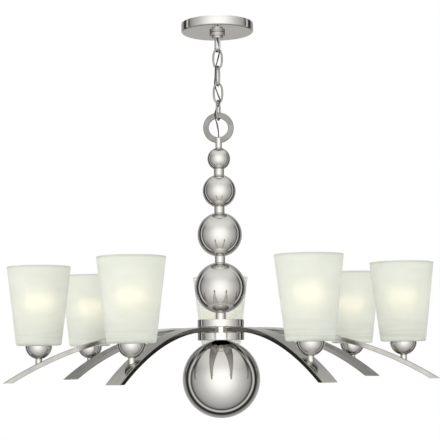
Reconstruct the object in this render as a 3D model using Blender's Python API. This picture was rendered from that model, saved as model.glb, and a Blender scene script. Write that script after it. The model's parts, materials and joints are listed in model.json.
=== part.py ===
"""Multi arm chandelier: canopy, chain, ring, stem of polished balls, slotted hub and seven arms.

Units are metres and +Z is up. The origin is the centre of the ceiling plane, and everything hangs
below it. Each named object is one sub-part. Moving pieces have their origin, or their parent
empty, on the axis that they turn about.
"""

import math

import bmesh
import bpy
from mathutils import Matrix, Vector

# Clearance, and the threaded pipe that the nipple and the stem are made of
GAP = 0.0003
PIPE_R = 0.00515
PIPE_BORE_R = 0.0035
PIPE_CLEAR_R = 0.0056
NUT_R = 0.010
NUT_H = 0.004
NUT_SIDES = 6

# Ceiling mount and canopy
STRAP_LENGTH = 0.104
STRAP_WIDTH = 0.022
STRAP_THICK = 0.0025
STRAP_HOLE_X = 0.04445
STRAP_HOLE_R = 0.0024
CANOPY_R = 0.078
CANOPY_H = 0.020
CANOPY_WALL = 0.0015
COLLAR_R = 0.017
COLLAR_H = 0.0077
LOOP_BODY_R = 0.012
LOOP_BODY_TOP = -0.0115
LOOP_BODY_BOTTOM = -0.033
LOOP_BORE_BOTTOM = -0.027
NIPPLE_BOTTOM = -0.026

# Chain
WIRE_R = 0.0021
LINK_HALF_HEIGHT = 0.021
LINK_HALF_WIDTH = 0.0093
LINK_PITCH = 2 * LINK_HALF_HEIGHT - 2 * WIRE_R - GAP
LOOP_WIRE_Z = -0.0613
LINK_COUNT = 4
LOOP_TURN = math.radians(118)
LINK_TURNS = (0.0, math.radians(110), 0.0, math.radians(70))

# Suspension ring and its coupling
RING_OUTER_R = 0.033
RING_INNER_R = 0.02075
RING_THICK = 0.007
RING_EDGE = 0.0008
RING_HANG = 0.0173
COUPLING_R = 0.007
COUPLING_BORE_R = 0.00545
CORD_HOLE_R = 0.0024
COUPLING_TOP = -0.2505
COUPLING_BOTTOM = -0.2728
COUPLING_WEB = 0.002

# Supply cord: radius, spacing of its points, and its route by hand through the chain
CORD_R = 0.0016
CORD_STEP = 0.0090
CORD_ROUTE = (
    (0.0, 0.0, -0.0015),
    (0.0, 0.0, -0.0180),
    (0.0, 0.0, -0.0330),
    (0.0024, 0.0034, -0.0460),
    (0.0041, 0.0059, -0.0590),
    (0.0006, 0.0008, -0.0780),
    (-0.0041, -0.0059, -0.0965),
    (-0.0058, -0.0008, -0.1150),
    (-0.0066, 0.0045, -0.1340),
    (-0.0012, -0.0008, -0.1530),
    (0.0041, -0.0059, -0.1715),
    (-0.0015, -0.0044, -0.1840),
    (-0.0066, -0.0060, -0.1960),
    (-0.0065, -0.0060, -0.2080),
    (-0.0026, -0.0030, -0.2220),
    (0.0, 0.0, -0.2390),
    (0.0, 0.0, -0.2600),
    (0.0, 0.0, -0.4500),
    (0.0, 0.0, -0.6400),
    (0.0, 0.0, -0.6560),
    (0.0008, 0.0, -0.6630),
    (0.0040, 0.0, -0.6675),
    (0.0095, 0.0, -0.6690),
)

# Stem of balls, from the coupling down to the hub
BALL_RADII = (0.0245, 0.0355, 0.0475, 0.0545)
BALL_WALL = 0.0015
BALL_SEAT_R = 0.0116
FIRST_SEAT_R = 0.0076
SPACER_R = 0.011
BALL_SEGMENTS = (14, 16, 18, 18)

# Hub
HUB_R = 0.0495
HUB_TOP = -0.641
HUB_CAP_BOTTOM = -0.657
HUB_FLOOR_TOP = -0.6685
HUB_BOTTOM = -0.6848
HUB_POCKET_R = 0.030
HUB_POCKET_BOTTOM = -0.678
HUB_EDGE = 0.0012
HUB_SEGMENTS = 28
SLOT_WIDTH = 0.033

# Lower ball
LOWER_BALL_R = 0.082
LOWER_SEAT_Z = HUB_BOTTOM - GAP
ROD_BOTTOM = -0.6930
WIRE_SLOT_WIDTH = 0.0048
WIRE_SLOT_TOP = -0.6580
WIRE_SLOT_BOTTOM = -0.6730

# Arms: flat tubes, level at the hub and then curving down
ARM_COUNT = 7
ARM_WIDTH = 0.032
ARM_THICK = 0.0095
ARM_WALL = 0.0016
ARM_MID_Z = -0.66345
ARM_START = 0.035
ARM_BEND_START = 0.084
ARM_BEND_R = 0.685
ARM_REACH = 0.457
ARM_STATIONS = 8
LAMP_RADIUS = 0.385

# Lamps, in each arm's own frame
POST_R = 0.00675
POST_BORE_R = 0.0028
CUP_R = 0.0275
CUP_TOP = -0.6926
CUP_WALL = 0.002
SHADE_TOP_R = 0.067
SHADE_BOTTOM_R = 0.0464
SHADE_TOP = -0.5295
SHADE_WALL = 0.003
SHADE_HOLE_R = 0.020
SOCKET_R = 0.0185
SOCKET_TOP = -0.650
SOCKET_BORE_R = 0.0138
SOCKET_FLOOR = -0.680
BULB_R = 0.030
BULB_TOP = -0.569
BULB_BOTTOM = -0.677
BULB_BASE_R = 0.0126
BULB_WALL = 0.0012

# Base colour, roughness and metallic value of each finish
FINISHES = {
    "nickel": ((0.66, 0.64, 0.61), 0.08, 1.0),
    "steel": ((0.56, 0.55, 0.53), 0.35, 1.0),
    "brass": ((0.72, 0.58, 0.32), 0.35, 1.0),
    "frosted_glass": ((0.90, 0.94, 0.87), 0.45, 0.0),
    "lamp_glass": ((0.97, 0.93, 0.82), 0.30, 0.0),
    "porcelain": ((0.87, 0.86, 0.82), 0.40, 0.0),
    "cord": ((0.62, 0.61, 0.58), 0.45, 0.0),
}


def clear_scene():
    """Take every object out of the open file."""
    for old in list(bpy.data.objects):
        bpy.data.objects.remove(old, do_unlink=True)


def finish(part, kind):
    """A Principled material for one part in one of the finishes."""
    colour, roughness, metallic = FINISHES[kind]
    material = bpy.data.materials.new(f"{part}_{kind}")
    material.use_nodes = True
    shader = material.node_tree.nodes["Principled BSDF"]
    shader.inputs["Base Color"].default_value = (*colour, 1.0)
    shader.inputs["Roughness"].default_value = roughness
    shader.inputs["Metallic"].default_value = metallic
    return material


def turned_mesh(name, profile, segments):
    """Body of revolution about Z from (radius, z) points.

    A profile that starts and ends at radius 0 runs from pole to pole. Any other profile is a
    closed loop, and makes a body with a bore.
    """
    bm = bmesh.new()
    rings = []
    for radius, z in profile:
        if radius == 0:
            rings.append([bm.verts.new((0.0, 0.0, z))])
            continue
        angles = [2 * math.pi * i / segments for i in range(segments)]
        rings.append([bm.verts.new((radius * math.cos(a), radius * math.sin(a), z)) for a in angles])
    followers = rings[1:] if len(rings[0]) == 1 else rings[1:] + rings[:1]
    for ring, follower in zip(rings, followers):
        for i in range(segments):
            j = (i + 1) % segments
            corners = (ring[i % len(ring)], ring[j % len(ring)],
                       follower[j % len(follower)], follower[i % len(follower)])
            bm.faces.new(list(dict.fromkeys(corners)))
    return mesh_from(name, bm)


def swept_mesh(name, path, radius, sides, closed):
    """Round wire along a path that lies in one vertical plane through Z, with flat end caps."""
    bm = bmesh.new()
    count = len(path)
    normal = Vector((0.0, 1.0, 0.0))
    rings = []
    for i, point in enumerate(path):
        before = path[i - 1] if closed or i > 0 else point
        after = path[(i + 1) % count] if closed or i < count - 1 else point
        side = (after - before).normalized().cross(normal)
        ring = []
        for k in range(sides):
            angle = 2 * math.pi * (k + 0.5) / sides
            offset = radius * (math.cos(angle) * normal + math.sin(angle) * side)
            ring.append(bm.verts.new(point + offset))
        rings.append(ring)
    followers = rings[1:] + rings[:1] if closed else rings[1:]
    for ring, follower in zip(rings, followers):
        for k in range(sides):
            m = (k + 1) % sides
            bm.faces.new((ring[k], ring[m], follower[m], follower[k]))
    if not closed:
        bm.faces.new(rings[0])
        bm.faces.new(rings[-1])
    return mesh_from(name, bm)


def prism_mesh(name, outline, bottom, top):
    """Upright prism over a plan outline of (x, y) points."""
    bm = bmesh.new()
    floor = [bm.verts.new((x, y, bottom)) for x, y in outline]
    roof = [bm.verts.new((x, y, top)) for x, y in outline]
    bm.faces.new(floor)
    bm.faces.new(roof)
    for i in range(len(outline)):
        j = (i + 1) % len(outline)
        bm.faces.new((floor[i], floor[j], roof[j], roof[i]))
    return mesh_from(name, bm)


def box_mesh(name, low, high):
    """Box between two corners."""
    outline = ((low[0], low[1]), (high[0], low[1]), (high[0], high[1]), (low[0], high[1]))
    return prism_mesh(name, outline, low[2], high[2])


def mesh_from(name, bm):
    """Close a bmesh into a smooth-shaded mesh whose faces point out."""
    bmesh.ops.recalc_face_normals(bm, faces=bm.faces)
    mesh = bpy.data.meshes.new(name)
    bm.to_mesh(mesh)
    bm.free()
    mesh.shade_smooth()
    mesh.set_sharp_from_angle(angle=math.radians(35))
    return mesh


def place(name, data, kind, parent=None, location=(0.0, 0.0, 0.0), turn=(0.0, 0.0, 0.0)):
    """Link a named part with its own material, under a parent if it has one."""
    part = bpy.data.objects.new(name, data)
    bpy.context.scene.collection.objects.link(part)
    if not data.materials:
        data.materials.append(finish(data.name, kind))
    part.parent = parent
    part.location = location
    part.rotation_euler = turn
    return part


def empty(name, location=(0.0, 0.0, 0.0), turn=0.0, parent=None):
    """Empty that carries the pieces of one moving group."""
    frame = bpy.data.objects.new(name, None)
    bpy.context.scene.collection.objects.link(frame)
    frame.parent = parent
    frame.location = location
    frame.rotation_euler = (0.0, 0.0, turn)
    return frame


def cut(part, cutter_mesh):
    """Cut a part with a mesh that is given in the part's own coordinates."""
    cutter = bpy.data.objects.new(f"{cutter_mesh.name}_cutter", cutter_mesh)
    bpy.context.scene.collection.objects.link(cutter)
    cutter.parent = part
    cutter.hide_render = True
    cutter.display_type = "WIRE"
    combine(part, cutter, "DIFFERENCE")


def combine(part, other, operation):
    """Add an exact Boolean modifier."""
    modifier = part.modifiers.new(other.name, "BOOLEAN")
    modifier.operation = operation
    modifier.solver = "EXACT"
    modifier.object = other


def arc(centre, radius, start_deg, end_deg, steps):
    """Points (a, b) along an arc in a plane, both ends included."""
    points = []
    for i in range(steps + 1):
        angle = math.radians(start_deg + (end_deg - start_deg) * i / steps)
        points.append((centre[0] + radius * math.cos(angle), centre[1] + radius * math.sin(angle)))
    return points


def drill_mesh(name, radius, low, high, segments):
    """Solid cylinder that drills a hole."""
    return turned_mesh(name, ((0, low), (radius, low), (radius, high), (0, high)), segments)


def pipe_profile(top, bottom, outer, inner):
    """Loop profile of a plain tube."""
    return ((inner, top), (outer, top), (outer, bottom), (inner, bottom))


# Ceiling mount ------------------------------------------------------------------------------

def build_ceiling_mount():
    """Crossbar that is screwed to the ceiling box, and the threaded nipple in it."""
    half_length = STRAP_LENGTH / 2
    half_width = STRAP_WIDTH / 2
    bar = box_mesh("mounting_strap", (-half_length, -half_width, -STRAP_THICK),
                   (half_length, half_width, 0.0))
    strap = place("mounting_strap", bar, "steel")
    through = 2 * STRAP_THICK
    cut(strap, drill_mesh("nipple_hole", PIPE_CLEAR_R, -through, through, 12))
    for name, x in (("left_hole", -STRAP_HOLE_X), ("right_hole", STRAP_HOLE_X)):
        hole = drill_mesh(name, STRAP_HOLE_R, -through, through, 10)
        hole.transform(Matrix.Translation((x, 0.0, 0.0)))
        cut(strap, hole)
    profile = pipe_profile(-GAP, NIPPLE_BOTTOM, PIPE_R, PIPE_BORE_R)
    place("mounting_nipple", turned_mesh("mounting_nipple", profile, 12), "brass")


def build_canopy():
    """Round ceiling cover and the threaded collar that holds it up."""
    outer_corner = arc((CANOPY_R - 0.005, -CANOPY_H + 0.005), 0.005, -90, 0, 3)
    inner_r = CANOPY_R - CANOPY_WALL
    floor_z = -CANOPY_H + CANOPY_WALL
    inner_corner = arc((inner_r - 0.004, floor_z + 0.004), 0.004, 0, -90, 2)
    hole_r = LOOP_BODY_R + 2 * GAP
    profile = [(hole_r, -CANOPY_H), *outer_corner, (CANOPY_R, 0.0), (inner_r, 0.0),
               *inner_corner, (hole_r, floor_z)]
    place("canopy", turned_mesh("canopy", profile, 24), "nickel")
    top = -CANOPY_H - GAP
    edge = 0.0015
    bore_r = LOOP_BODY_R + 0.0005
    profile = ((bore_r, top), (COLLAR_R, top), (COLLAR_R, top - COLLAR_H + edge),
               (COLLAR_R - edge, top - COLLAR_H), (bore_r, top - COLLAR_H))
    place("collar_ring", turned_mesh("collar_ring", profile, 16), "nickel")


def build_loop():
    """Threaded body with a wire loop below it, where the chain starts."""
    profile = ((PIPE_CLEAR_R, LOOP_BODY_TOP), (LOOP_BODY_R, LOOP_BODY_TOP),
               (LOOP_BODY_R, LOOP_BODY_BOTTOM), (CORD_HOLE_R, LOOP_BODY_BOTTOM),
               (CORD_HOLE_R, LOOP_BORE_BOTTOM), (PIPE_CLEAR_R, LOOP_BORE_BOTTOM))
    loop = place("canopy_loop", turned_mesh("canopy_loop", profile, 16), "nickel",
                 turn=(0.0, 0.0, LOOP_TURN))
    root_z = LOOP_BODY_BOTTOM + 0.003
    bend_z = LOOP_WIRE_Z + LINK_HALF_WIDTH
    bend = arc((0.0, bend_z), LINK_HALF_WIDTH, 180, 360, 8)
    path = [Vector((x, 0.0, z)) for x, z in
            ((-LINK_HALF_WIDTH, root_z), *bend, (LINK_HALF_WIDTH, root_z))]
    wire = bpy.data.objects.new("loop_wire", swept_mesh("loop_wire", path, WIRE_R, 8, False))
    bpy.context.scene.collection.objects.link(wire)
    wire.parent = loop
    wire.hide_render = True
    wire.display_type = "WIRE"
    combine(loop, wire, "UNION")


# Chain, cord and ring -----------------------------------------------------------------------

def hinge_z(index):
    """Height of the wire that chain link number index hangs on, counted from 0."""
    return LOOP_WIRE_Z - LINK_PITCH * index


def build_chain():
    """Oval links. Each one has its origin on the wire that it hangs on."""
    centre_z = LINK_HALF_HEIGHT - LINK_PITCH
    straight = LINK_HALF_HEIGHT - LINK_HALF_WIDTH
    top = arc((0.0, centre_z + straight), LINK_HALF_WIDTH, 0, 180, 8)
    bottom = arc((0.0, centre_z - straight), LINK_HALF_WIDTH, 180, 360, 8)
    path = [Vector((x, 0.0, z)) for x, z in top + bottom]
    link = swept_mesh("chain_link", path, WIRE_R, 8, True)
    for i in range(LINK_COUNT):
        place(f"chain_link_{i + 1}", link, "nickel", location=(0.0, 0.0, hinge_z(i)),
              turn=(0.0, 0.0, LINK_TURNS[i]))


def smooth_route(route, step):
    """Evenly spaced points on one smooth curve through the points of a route."""
    points = [Vector(p) for p in route]
    ends = [2 * points[0] - points[1], *points, 2 * points[-1] - points[-2]]
    fine = []
    for p0, p1, p2, p3 in zip(ends, ends[1:], ends[2:], ends[3:]):
        length = (p2 - p1).length
        tangent_1 = (p2 - p0) / ((p2 - p1).length + (p1 - p0).length) * length
        tangent_2 = (p3 - p1) / ((p3 - p2).length + (p2 - p1).length) * length
        pieces = max(2, round(length / step))
        for k in range(pieces):
            t = k / pieces
            fine.append((2 * t ** 3 - 3 * t ** 2 + 1) * p1 + (t ** 3 - 2 * t ** 2 + t) * tangent_1
                        + (3 * t ** 2 - 2 * t ** 3) * p2 + (t ** 3 - t ** 2) * tangent_2)
    fine.append(points[-1])
    return fine


def tube_curve(name, routes, radius):
    """Curve with one straight-sided spline for each route, as round tubes with filled caps."""
    curve = bpy.data.curves.new(name, "CURVE")
    curve.dimensions = "3D"
    curve.bevel_depth = radius
    curve.bevel_resolution = 2
    curve.use_fill_caps = True
    for route in routes:
        spline = curve.splines.new("POLY")
        spline.points.add(len(route) - 1)
        for point, co in zip(spline.points, route):
            point.co = (*co, 1.0)
    return curve


def build_supply_cord():
    """Lamp cord from the ceiling nipple, woven down the chain and through the stem to the hub."""
    route = smooth_route(CORD_ROUTE, CORD_STEP)
    place("supply_cord", tube_curve("supply_cord", [route], CORD_R), "cord")


def build_ring(fixture):
    """Flat suspension ring and the slotted coupling that joins it to the stem."""
    half = RING_THICK / 2
    edge = RING_EDGE
    profile = ((RING_INNER_R + edge, half), (RING_OUTER_R - edge, half), (RING_OUTER_R, half - edge),
               (RING_OUTER_R, edge - half), (RING_OUTER_R - edge, -half),
               (RING_INNER_R + edge, -half), (RING_INNER_R, edge - half), (RING_INNER_R, half - edge))
    ring = place("suspension_ring", turned_mesh("suspension_ring", profile, 28), "nickel", fixture,
                 location=(0.0, 0.0, -RING_HANG), turn=(math.pi / 2, 0.0, 0.0))
    cord_hole = drill_mesh("ring_cord_hole", CORD_HOLE_R, RING_INNER_R - half, RING_OUTER_R + half, 10)
    cord_hole.transform(Matrix.Rotation(math.pi / 2, 4, "X"))
    cut(ring, cord_hole)
    slot_z = hinge_z(LINK_COUNT) - RING_HANG - RING_OUTER_R - GAP
    web_z = slot_z - COUPLING_WEB
    profile = ((CORD_HOLE_R, COUPLING_TOP), (COUPLING_R, COUPLING_TOP),
               (COUPLING_R, COUPLING_BOTTOM), (COUPLING_BORE_R, COUPLING_BOTTOM),
               (COUPLING_BORE_R, web_z), (CORD_HOLE_R, web_z))
    coupling = place("ring_coupling", turned_mesh("ring_coupling", profile, 16), "nickel",
                     stem_frame(fixture))
    cheek_y = half + GAP
    cut(coupling, box_mesh("coupling_slot", (-2 * COUPLING_R, -cheek_y, slot_z),
                           (2 * COUPLING_R, cheek_y, COUPLING_TOP + 0.005)))
    return web_z - GAP


def stem_frame(fixture):
    """Empty at the ceiling plane, so that the stem's pieces are given at their real heights."""
    known = bpy.data.objects.get("stem_frame")
    return known or empty("stem_frame", (0.0, 0.0, -hinge_z(LINK_COUNT)), 0.0, fixture)


# Stem, hub and lower ball -------------------------------------------------------------------

def seat_height(radius, seat_r):
    """Distance from a ball's centre to the flat of radius seat_r at its pole."""
    return math.sqrt(radius ** 2 - seat_r ** 2)


def ball_profile(centre_z, radius, top_seat_r, steps):
    """Loop profile of a hollow ball with a flat, drilled seat at each pole."""
    inner_r = radius - BALL_WALL
    top_deg = math.degrees(math.acos(top_seat_r / radius))
    low_deg = math.degrees(math.acos(BALL_SEAT_R / radius))
    outer = arc((0.0, centre_z), radius, top_deg, -low_deg, steps)
    top_z = outer[0][1]
    low_z = outer[-1][1]
    top_inner = math.degrees(math.asin((top_z - BALL_WALL - centre_z) / inner_r))
    low_inner = math.degrees(math.asin((low_z + BALL_WALL - centre_z) / inner_r))
    inner = arc((0.0, centre_z), inner_r, low_inner, top_inner, steps * 2 // 3)
    return [(PIPE_CLEAR_R, top_z), *outer, (PIPE_CLEAR_R, low_z),
            (PIPE_CLEAR_R, low_z + BALL_WALL), *inner, (PIPE_CLEAR_R, top_z - BALL_WALL)]


def build_stem(fixture, rod_top):
    """Threaded pipe, four hollow balls that grow towards the hub, and a spacer under each."""
    frame = stem_frame(fixture)
    rod_mesh = turned_mesh("center_rod", pipe_profile(rod_top, ROD_BOTTOM, PIPE_R, PIPE_BORE_R), 12)
    rod = place("center_rod", rod_mesh, "steel", frame)
    half = WIRE_SLOT_WIDTH / 2
    cut(rod, box_mesh("wire_slot", (PIPE_BORE_R / 2, -half, WIRE_SLOT_BOTTOM),
                      (2 * PIPE_R, half, WIRE_SLOT_TOP)))
    seats = [FIRST_SEAT_R] + [BALL_SEAT_R] * (len(BALL_RADII) - 1)
    heights = [seat_height(r, s) + seat_height(r, BALL_SEAT_R) for r, s in zip(BALL_RADII, seats)]
    top = COUPLING_BOTTOM - GAP
    free = top - HUB_TOP - sum(heights) - 2 * GAP * len(heights)
    spacer_h = free / len(heights)
    spacer = turned_mesh("ball_spacer", pipe_profile(0.0, -spacer_h, SPACER_R, PIPE_CLEAR_R), 14)
    for i, (radius, seat_r, height) in enumerate(zip(BALL_RADII, seats, heights)):
        name = f"ball_{i + 1}"
        profile = ball_profile(top - seat_height(radius, seat_r), radius, seat_r, 7 + i)
        place(name, turned_mesh(name, profile, BALL_SEGMENTS[i]), "nickel", frame)
        spacer_top = top - height - GAP
        place(f"ball_spacer_{i + 1}", spacer, "nickel", frame, (0.0, 0.0, spacer_top))
        top = spacer_top - spacer_h - GAP


def arm_angle(index):
    """Direction of an arm in plan. A hub post, not an arm, faces -Y."""
    return -math.pi / 2 + (2 * index + 1) * math.pi / ARM_COUNT


def slot_star():
    """Plan outline of the seven arm slots, which run together at the hub's centre."""
    half = SLOT_WIDTH / 2
    reach = HUB_R + 0.01
    meeting_r = half / math.sin(math.pi / ARM_COUNT)
    outline = []
    for i in range(ARM_COUNT):
        angle = arm_angle(i)
        along = Vector((math.cos(angle), math.sin(angle)))
        across = Vector((-along.y, along.x))
        outline.append(tuple(reach * along - half * across))
        outline.append(tuple(reach * along + half * across))
        between = angle + math.pi / ARM_COUNT
        outline.append((meeting_r * math.cos(between), meeting_r * math.sin(between)))
    return outline


def build_hub(fixture):
    """Upper disc, and a base whose seven posts stand between the arms. The stem clamps both."""
    frame = stem_frame(fixture)
    edge = HUB_EDGE
    profile = ((PIPE_CLEAR_R, HUB_TOP), (HUB_R - edge, HUB_TOP), (HUB_R, HUB_TOP - edge),
               (HUB_R, HUB_CAP_BOTTOM + edge), (HUB_R - edge, HUB_CAP_BOTTOM),
               (PIPE_CLEAR_R, HUB_CAP_BOTTOM))
    place("hub_cap", turned_mesh("hub_cap", profile, HUB_SEGMENTS), "nickel", frame)
    posts_top = HUB_CAP_BOTTOM - GAP
    profile = ((PIPE_CLEAR_R, HUB_POCKET_BOTTOM), (HUB_POCKET_R, HUB_POCKET_BOTTOM),
               (HUB_POCKET_R, posts_top), (HUB_R, posts_top), (HUB_R, HUB_BOTTOM + edge),
               (HUB_R - edge, HUB_BOTTOM), (PIPE_CLEAR_R, HUB_BOTTOM))
    base = place("hub_base", turned_mesh("hub_base", profile, HUB_SEGMENTS), "nickel", frame)
    cut(base, prism_mesh("arm_slots", slot_star(), HUB_FLOOR_TOP, HUB_TOP))


def build_lower_ball(fixture):
    """Large hollow ball under the hub, and the nut inside it that holds the stem together."""
    frame = stem_frame(fixture)
    centre_z = LOWER_SEAT_Z - seat_height(LOWER_BALL_R, BALL_SEAT_R)
    inner_r = LOWER_BALL_R - BALL_WALL
    seat_deg = math.degrees(math.acos(BALL_SEAT_R / LOWER_BALL_R))
    ceiling_z = LOWER_SEAT_Z - BALL_WALL
    inner_deg = math.degrees(math.asin((ceiling_z - centre_z) / inner_r))
    outer = arc((0.0, centre_z), LOWER_BALL_R, -90, seat_deg, 12)[1:]
    inner = arc((0.0, centre_z), inner_r, inner_deg, -90, 8)[:-1]
    profile = [(0, centre_z - LOWER_BALL_R), *outer, (PIPE_CLEAR_R, LOWER_SEAT_Z),
               (PIPE_CLEAR_R, ceiling_z), *inner, (0, centre_z - inner_r)]
    place("lower_ball", turned_mesh("lower_ball", profile, 22), "nickel", frame)
    nut_top = ceiling_z - GAP
    bore_r = (PIPE_R + GAP) / math.cos(math.pi / NUT_SIDES)
    nut = turned_mesh("rod_nut", pipe_profile(nut_top, nut_top - NUT_H, NUT_R, bore_r), NUT_SIDES)
    place("rod_nut", nut, "steel", frame)


# Arms and lamps -----------------------------------------------------------------------------

def arm_point(angle, offset):
    """Point (r, z) at an angle round the arm's bend, offset up from its middle surface."""
    radius = ARM_BEND_R + offset
    return (ARM_BEND_START + radius * math.sin(angle),
            ARM_MID_Z - ARM_BEND_R + radius * math.cos(angle))


def angle_at_radius(r, offset):
    """Angle round the bend where a surface at that offset is at plan radius r."""
    return math.asin((r - ARM_BEND_START) / (ARM_BEND_R + offset))


def angle_at_height(z, offset):
    """Angle round the bend where a surface at that offset is at height z."""
    return math.acos((z - ARM_MID_Z + ARM_BEND_R) / (ARM_BEND_R + offset))


def bar_mesh(name, start, tip_z, top, bottom, width):
    """Curved flat bar between two offsets of the arm's middle surface, cut level at its tip."""
    half = width / 2
    top_end = angle_at_height(tip_z, top)
    bottom_end = angle_at_height(tip_z, bottom)
    sections = [((start, ARM_MID_Z + top), (start, ARM_MID_Z + bottom))]
    for i in range(ARM_STATIONS + 1):
        share = i / ARM_STATIONS
        sections.append((arm_point(top_end * share, top), arm_point(bottom_end * share, bottom)))
    bm = bmesh.new()
    rings = []
    for (top_r, top_z), (low_r, low_z) in sections:
        corners = ((top_r, -half, top_z), (top_r, half, top_z),
                   (low_r, half, low_z), (low_r, -half, low_z))
        rings.append([bm.verts.new(corner) for corner in corners])
    for ring, follower in zip(rings, rings[1:]):
        for k in range(4):
            m = (k + 1) % 4
            bm.faces.new((ring[k], ring[m], follower[m], follower[k]))
    bm.faces.new(rings[0])
    bm.faces.new(rings[-1])
    return mesh_from(name, bm)


def arm_top_z(r):
    """Height of the arm's upper face at plan radius r, on the bend."""
    half = ARM_THICK / 2
    return arm_point(angle_at_radius(r, half), half)[1]


def cup_mesh():
    """Half-round cup on a short hollow post, whose foot follows the slope of the arm."""
    low_deg = math.degrees(math.acos(POST_R / CUP_R))
    outer = arc((0.0, CUP_TOP), CUP_R, 0, -low_deg, 5)
    neck_z = outer[-1][1]
    foot_z = neck_z - 0.004
    floor_z = CUP_TOP - CUP_WALL
    profile = [(POST_BORE_R, CUP_TOP), *outer, (POST_R, foot_z), (POST_BORE_R, foot_z),
               (POST_BORE_R, neck_z + CUP_WALL), (0.017, CUP_TOP - 0.016),
               (CUP_R - 2 * CUP_WALL, floor_z), (POST_BORE_R, floor_z)]
    mesh = turned_mesh("cup", profile, 12)
    for vertex in mesh.vertices:
        if vertex.co.z < foot_z + GAP:
            vertex.co.z = arm_top_z(LAMP_RADIUS + vertex.co.x) + GAP
    return mesh


def shade_profile():
    """Loop profile of the open-topped glass shade, with a rounded lower edge."""
    low = CUP_TOP + GAP
    corner = 0.005
    outer = arc((SHADE_BOTTOM_R - corner, low + corner), corner, -90, 0, 2)
    inner_r = SHADE_BOTTOM_R - SHADE_WALL
    return [(SHADE_HOLE_R, low), *outer, (SHADE_TOP_R, SHADE_TOP),
            (SHADE_TOP_R - SHADE_WALL, SHADE_TOP), (inner_r, low + corner),
            (inner_r - 0.0015, low + SHADE_WALL), (SHADE_HOLE_R, low + SHADE_WALL)]


def socket_profile():
    """Loop profile of the lamp socket, which stands on the cup inside the shade."""
    low = CUP_TOP + GAP
    return ((POST_BORE_R, low), (SOCKET_R, low), (SOCKET_R, SOCKET_TOP),
            (SOCKET_BORE_R, SOCKET_TOP), (SOCKET_BORE_R, SOCKET_FLOOR), (POST_BORE_R, SOCKET_FLOOR))


def bulb_profile():
    """Pole to pole profile of a hollow lamp bulb with its screw base."""
    belly_z = BULB_TOP - BULB_R
    base_top = SOCKET_TOP - 0.001
    inner_r = BULB_BASE_R - BULB_WALL
    crown = arc((0.0, belly_z), BULB_R, 90, 0, 3)[1:]
    return [(0, BULB_TOP), *crown, (0.0260, belly_z - 0.016), (0.0170, belly_z - 0.037),
            (BULB_BASE_R, base_top), (BULB_BASE_R, BULB_BOTTOM + 0.004), (0.005, BULB_BOTTOM),
            (0.001, BULB_BOTTOM), (0.001, BULB_BOTTOM + BULB_WALL), (inner_r, BULB_BOTTOM + 0.006),
            (inner_r, base_top), (BULB_R - 2 * BULB_WALL, belly_z), (0, BULB_TOP - 2 * BULB_WALL)]


def build_arms_and_lamps(fixture):
    """Seven flat tubular arms, each with a cup, a socket, a glass shade and a bulb."""
    half = ARM_THICK / 2
    inside = half - ARM_WALL
    bore_end = arm_point(angle_at_radius(LAMP_RADIUS + CUP_R / 2, 0.0), 0.0)[1]
    arm_mesh = bar_mesh("arm", ARM_START, arm_top_z(ARM_REACH), half, -half, ARM_WIDTH)
    bore_mesh = bar_mesh("arm_bore", ARM_START - ARM_THICK, bore_end, inside, -inside,
                         ARM_WIDTH - 2 * ARM_WALL)
    lead_hole = drill_mesh("lead_hole", POST_BORE_R, arm_top_z(LAMP_RADIUS) - half, CUP_TOP, 8)
    lead_hole.transform(Matrix.Translation((LAMP_RADIUS, 0.0, 0.0)))
    cup = cup_mesh()
    socket = turned_mesh("socket", socket_profile(), 12)
    shade = turned_mesh("shade", shade_profile(), 18)
    bulb = turned_mesh("bulb", bulb_profile(), 10)
    frame = stem_frame(fixture)
    at_lamp = (LAMP_RADIUS, 0.0, 0.0)
    for i in range(ARM_COUNT):
        number = i + 1
        arm_frame = empty(f"arm_frame_{number}", turn=arm_angle(i), parent=frame)
        arm = place(f"arm_{number}", arm_mesh, "nickel", arm_frame)
        cut(arm, bore_mesh)
        cut(arm, lead_hole)
        place(f"cup_{number}", cup, "nickel", arm_frame, at_lamp)
        place(f"socket_{number}", socket, "porcelain", arm_frame, at_lamp)
        place(f"shade_{number}", shade, "frosted_glass", arm_frame, at_lamp)
        place(f"bulb_{number}", bulb, "lamp_glass", arm_frame, at_lamp)


def main():
    """Build the whole chandelier."""
    clear_scene()
    build_ceiling_mount()
    build_canopy()
    build_loop()
    build_chain()
    build_supply_cord()
    fixture = empty("fixture_pivot", (0.0, 0.0, hinge_z(LINK_COUNT)))
    rod_top = build_ring(fixture)
    build_stem(fixture, rod_top)
    build_hub(fixture)
    build_lower_ball(fixture)
    build_arms_and_lamps(fixture)


main()
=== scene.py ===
"""Looks of the multi arm chandelier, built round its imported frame.

Metres, +Z up, with the ceiling plane at Z = 0 and the chandelier's axis on Z. Each function makes
one kind of piece, which rides on a body of the frame and stands for the plain node it covers.
"""

import json
import math

import bmesh
import bpy
from mathutils import Matrix, Vector


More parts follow.
